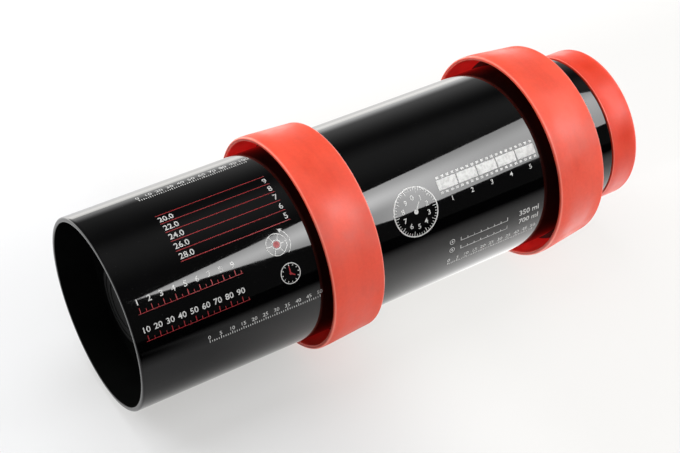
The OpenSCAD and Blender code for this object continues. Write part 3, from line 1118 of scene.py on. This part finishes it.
HALF_FLOOR = 3.0

# Card on the table: its corners, and where it is dark and where it glows in reflections
CARD_LOW = (-2.5, -2.9)
CARD_HIGH = (2.5, 0.0)
CARD_HEIGHT = 0.0004
CARD_FAR = (-0.075, -0.27)
CARD_LEFT = (-0.03, -0.2)
CARD_LEFT_ALONG = (0.0, -0.08)
CARD_NEAR = (-0.022, -0.052, 0.0, 0.45)
CARD_NEAR_ALONG = (-0.03, -0.085)
UNDERGLOW_DEPTH = (-0.11, -0.035)
UNDERGLOW_START = (-0.012, 0.018)
UNDERGLOW_RISE = (0.0, 0.07, 0.36, 1.06)

# Softbox: its plane, its outline on that plane, and how its glow varies
SOFTBOX_CENTRE = Vector((0.127, -0.206, 0.263))
SOFTBOX_ACROSS = Vector((0.816, 0.578, 0.0))
SOFTBOX_UP = Vector((-0.364, 0.514, 0.777))
SOFTBOX_LOW = -0.128
SOFTBOX_HOT = 0.01
SOFTBOX_HIGH = 0.078
SOFTBOX_CORNERS = (
    (-0.05, SOFTBOX_LOW),
    (0.15, SOFTBOX_LOW),
    (0.26, SOFTBOX_HIGH),
    (-0.01, SOFTBOX_HIGH),
    (-0.163, 0.0545),
)
GLOW_AT_LOW = 9.0
GLOW_AT_HOT = 11.5
GLOW_AT_HIGH = 7.3
SOFTBOX_LEFT = (0.05, 0.11, 0.82, 1.0)
SOFTBOX_RIGHT = (0.1, 0.2, 1.1, 0.72)
CORNER_ALONG = (0.15, 0.115)
CORNER_DOWN = (0.2785, 0.2164)
CORNER_DIMMING = 0.4

# Lights: name, place, target, width, depth and watts
LIGHTS = (
    ("softbox", (0.175, -0.18, 0.2555), (0.0, 0.02, 0.04), 0.305, 0.214, 0.02),
    ("front_fill", (-0.13, -0.68, 0.98), (0.0, 0.0, 0.0), 0.9, 0.9, 4.9),
    ("overhead", (0.0, 0.35, 1.15), (0.0, 0.0, 0.0), 0.9, 0.9, 10.0),
    ("left_fill", (-0.95, -0.42, 0.22), (0.0, 0.0, 0.03), 0.4, 0.4, 1.9),
    ("back_key", (-0.71, 0.82, 0.51), (0.0, 0.0, 0.0), 0.6, 0.6, 13.0),
    ("side_fill", (1.07, 0.19, 0.51), (0.0, 0.0, 0.0), 0.6, 0.6, 6.0),
    ("cap_fill", (0.62, -0.62, 0.28), (0.09, -0.03, 0.04), 0.3, 0.3, 3.8),
)

# Room: brightness of its parts, their limits in degrees over the top from front to back, and along X
FILL = (0.04, 0.04, 0.04, 1)
SURROUND = (0.92, 0.92, 0.92, 1)
ROOM_DARK = 0.06
ROOM_CEILING = 0.24
ROOM_WALL = 0.45
ROOM_BACK = 1.6
ROOM_LEFT = 0.12
ROOM_FOOT = 0.6
ROOM_RIGHT = 3.0
CEILING_START = (58, 96)
CEILING_END = (100, 124)
WALL_START = (124, 166)
SWEEP_START = (164, 180)
BACK_ALONG = (0.24, 0.46)
RIGHT_ALONG = (0.72, 0.92)

# Camera, found from the ellipses of the rings and the rim
PHOTO_WIDTH = 680
FOCAL_PIXELS = 1480.23
SENSOR_WIDTH = 36.0
CAMERA_PLACE = (-0.27637, -0.42015, 0.44799)
CAMERA_AZIMUTH = -32.267
CAMERA_ELEVATION = 39.158


def flat_sheet(name, corners, material):
    """Flat sheet of the stage."""
    mesh = bmesh.new()
    mesh.faces.new([mesh.verts.new(corner) for corner in corners])
    sheet = finished_mesh(name, mesh, smooth=False)
    sheet.data.materials.append(material)
    return sheet


def level_sheet(name, low, high, height, material):
    """Level rectangle of the stage."""
    corners = [(*low, height), (high[0], low[1], height), (*high, height), (low[0], high[1], height)]
    return flat_sheet(name, corners, material)


def reflections_only(sheet):
    """Hides a sheet from all but reflections."""
    sheet.visible_camera = False
    sheet.visible_diffuse = False
    sheet.visible_shadow = False


def black_card():
    """Card that only reflections see, dark where the real table fades out and lit under the module."""
    material, tree, shader = new_material("black_card")
    along, across, _ = parts_of(tree, object_place(tree))
    far = spread(tree, across, *CARD_FAR)
    left = times(tree, spread(tree, along, *CARD_LEFT_ALONG), spread(tree, across, *CARD_LEFT))
    near = times(tree, spread(tree, along, *CARD_NEAR_ALONG), spread(tree, across, *CARD_NEAR))
    dark = maths(tree, "MAXIMUM", far, maths(tree, "MAXIMUM", left, near))
    dress(tree, shader, {"Base Color": BLACK, "Specular IOR Level": 0.0, "Alpha": dark})
    glow = times(tree, spread(tree, along, *UNDERGLOW_START), spread(tree, along, *UNDERGLOW_RISE))
    lamp = tree.nodes.new("ShaderNodeEmission")
    plug(tree, times(tree, glow, spread(tree, across, *UNDERGLOW_DEPTH)), lamp.inputs["Strength"])
    both = tree.nodes.new("ShaderNodeAddShader")
    tree.links.new(shader.outputs[0], both.inputs[0])
    tree.links.new(lamp.outputs[0], both.inputs[1])
    tree.links.new(both.outputs[0], tree.nodes["Material Output"].inputs["Surface"])
    material.cycles.emission_sampling = "NONE"
    reflections_only(level_sheet("black_card", CARD_LOW, CARD_HIGH, CARD_HEIGHT, material))


def softbox_face():
    """Glowing sheet near the tank that only reflections see, with a hot middle and a dim lower corner."""
    material, tree, shader = new_material("softbox_face")
    along, _, height = parts_of(tree, object_place(tree))
    levels = (SOFTBOX_LOW, SOFTBOX_HOT, SOFTBOX_HIGH)
    bottom, middle, top = ((SOFTBOX_CENTRE + SOFTBOX_UP * level).z for level in levels)
    lower = spread(tree, height, bottom, middle, GLOW_AT_LOW, GLOW_AT_HOT)
    upper = spread(tree, height, middle, top, GLOW_AT_HOT, GLOW_AT_HIGH)
    sideways = times(tree, spread(tree, along, *SOFTBOX_LEFT), spread(tree, along, *SOFTBOX_RIGHT))
    corner = times(tree, spread(tree, along, *CORNER_ALONG), spread(tree, height, *CORNER_DOWN))
    dimmed = maths(tree, "MULTIPLY_ADD", corner, -CORNER_DIMMING, 1.0)
    glow = times(tree, maths(tree, "MINIMUM", lower, upper), sideways)
    dress(tree, shader, {
        "Base Color": BLACK,
        "Emission Color": WHITE,
        "Emission Strength": times(tree, glow, dimmed),
    })
    corners = []
    for across, rise in SOFTBOX_CORNERS:
        corners.append(SOFTBOX_CENTRE + SOFTBOX_ACROSS * across + SOFTBOX_UP * rise)
    reflections_only(flat_sheet("softbox_face", corners, material))


def area_light(name, place, target, width, depth, power):
    """Soft rectangular light aimed at a point, which reflections don't see."""
    data = bpy.data.lights.new(name, "AREA")
    data.shape = "RECTANGLE"
    data.size = width
    data.size_y = depth
    data.energy = power
    lamp = bpy.data.objects.new(name, data)
    lamp.location = place
    lamp.rotation_euler = (Vector(target) - Vector(place)).to_track_quat("-Z", "Y").to_euler()
    lamp.visible_camera = False
    lamp.visible_glossy = False
    bpy.context.scene.collection.objects.link(lamp)


def by_degrees(tree, turn, limits, to_low, to_high):
    """Maps an angle between two limits in degrees smoothly onto two brightnesses."""
    return spread(tree, turn, *(math.radians(limit) for limit in limits), to_low, to_high)


def studio_world():
    """Even fill for shading, a pale surround in view, and in reflections a dark room with a pale back."""
    world = bpy.data.worlds.new("studio")
    world.use_nodes = True
    bpy.context.scene.world = world
    tree = world.node_tree
    path = tree.nodes.new("ShaderNodeLightPath")
    along, across, height = parts_of(tree, tree.nodes.new("ShaderNodeTexCoord").outputs["Generated"])
    front = times(tree, across, -1.0)
    turn = maths(tree, "ARCTAN2", maths(tree, "MAXIMUM", height, 0.0), front)
    ceiling = by_degrees(tree, turn, CEILING_START, ROOM_DARK, ROOM_CEILING)
    beyond = by_degrees(tree, turn, CEILING_END, ROOM_CEILING - ROOM_DARK, 0.0)
    overhead = maths(tree, "MINIMUM", ceiling, maths(tree, "ADD", beyond, ROOM_DARK))
    wall = by_degrees(tree, turn, WALL_START, 0.0, ROOM_WALL)
    sweep = by_degrees(tree, turn, SWEEP_START, 0.0, ROOM_BACK)
    behind = times(tree, wall, spread(tree, along, *BACK_ALONG, ROOM_LEFT, 1.0))
    foot = times(tree, sweep, spread(tree, along, *BACK_ALONG, ROOM_FOOT, 1.0))
    right = spread(tree, along, *RIGHT_ALONG, 0.0, ROOM_RIGHT)
    room = maths(tree, "ADD", maths(tree, "ADD", overhead, maths(tree, "ADD", behind, foot)), right)
    shading = mixed(tree, path.outputs["Is Glossy Ray"], FILL, room)
    whole = mixed(tree, path.outputs["Is Camera Ray"], shading, SURROUND)
    tree.links.new(whole, tree.nodes["Background"].inputs["Color"])


def photo_camera():
    """Camera at the photograph's place."""
    data = bpy.data.cameras.new("camera")
    data.sensor_width = SENSOR_WIDTH
    data.lens = SENSOR_WIDTH * FOCAL_PIXELS / PHOTO_WIDTH
    camera = bpy.data.objects.new("camera", data)
    camera.location = CAMERA_PLACE
    camera.rotation_euler = (math.radians(90 - CAMERA_ELEVATION), 0, math.radians(CAMERA_AZIMUTH))
    bpy.context.scene.collection.objects.link(camera)
    bpy.context.scene.camera = camera


level_sheet("table", (-HALF_FLOOR, -HALF_FLOOR), (HALF_FLOOR, HALF_FLOOR), 0, pale_floor())
black_card()
softbox_face()
for light in LIGHTS:
    area_light(*light)
studio_world()
photo_camera()
bpy.context.scene.view_settings.view_transform = "Standard"
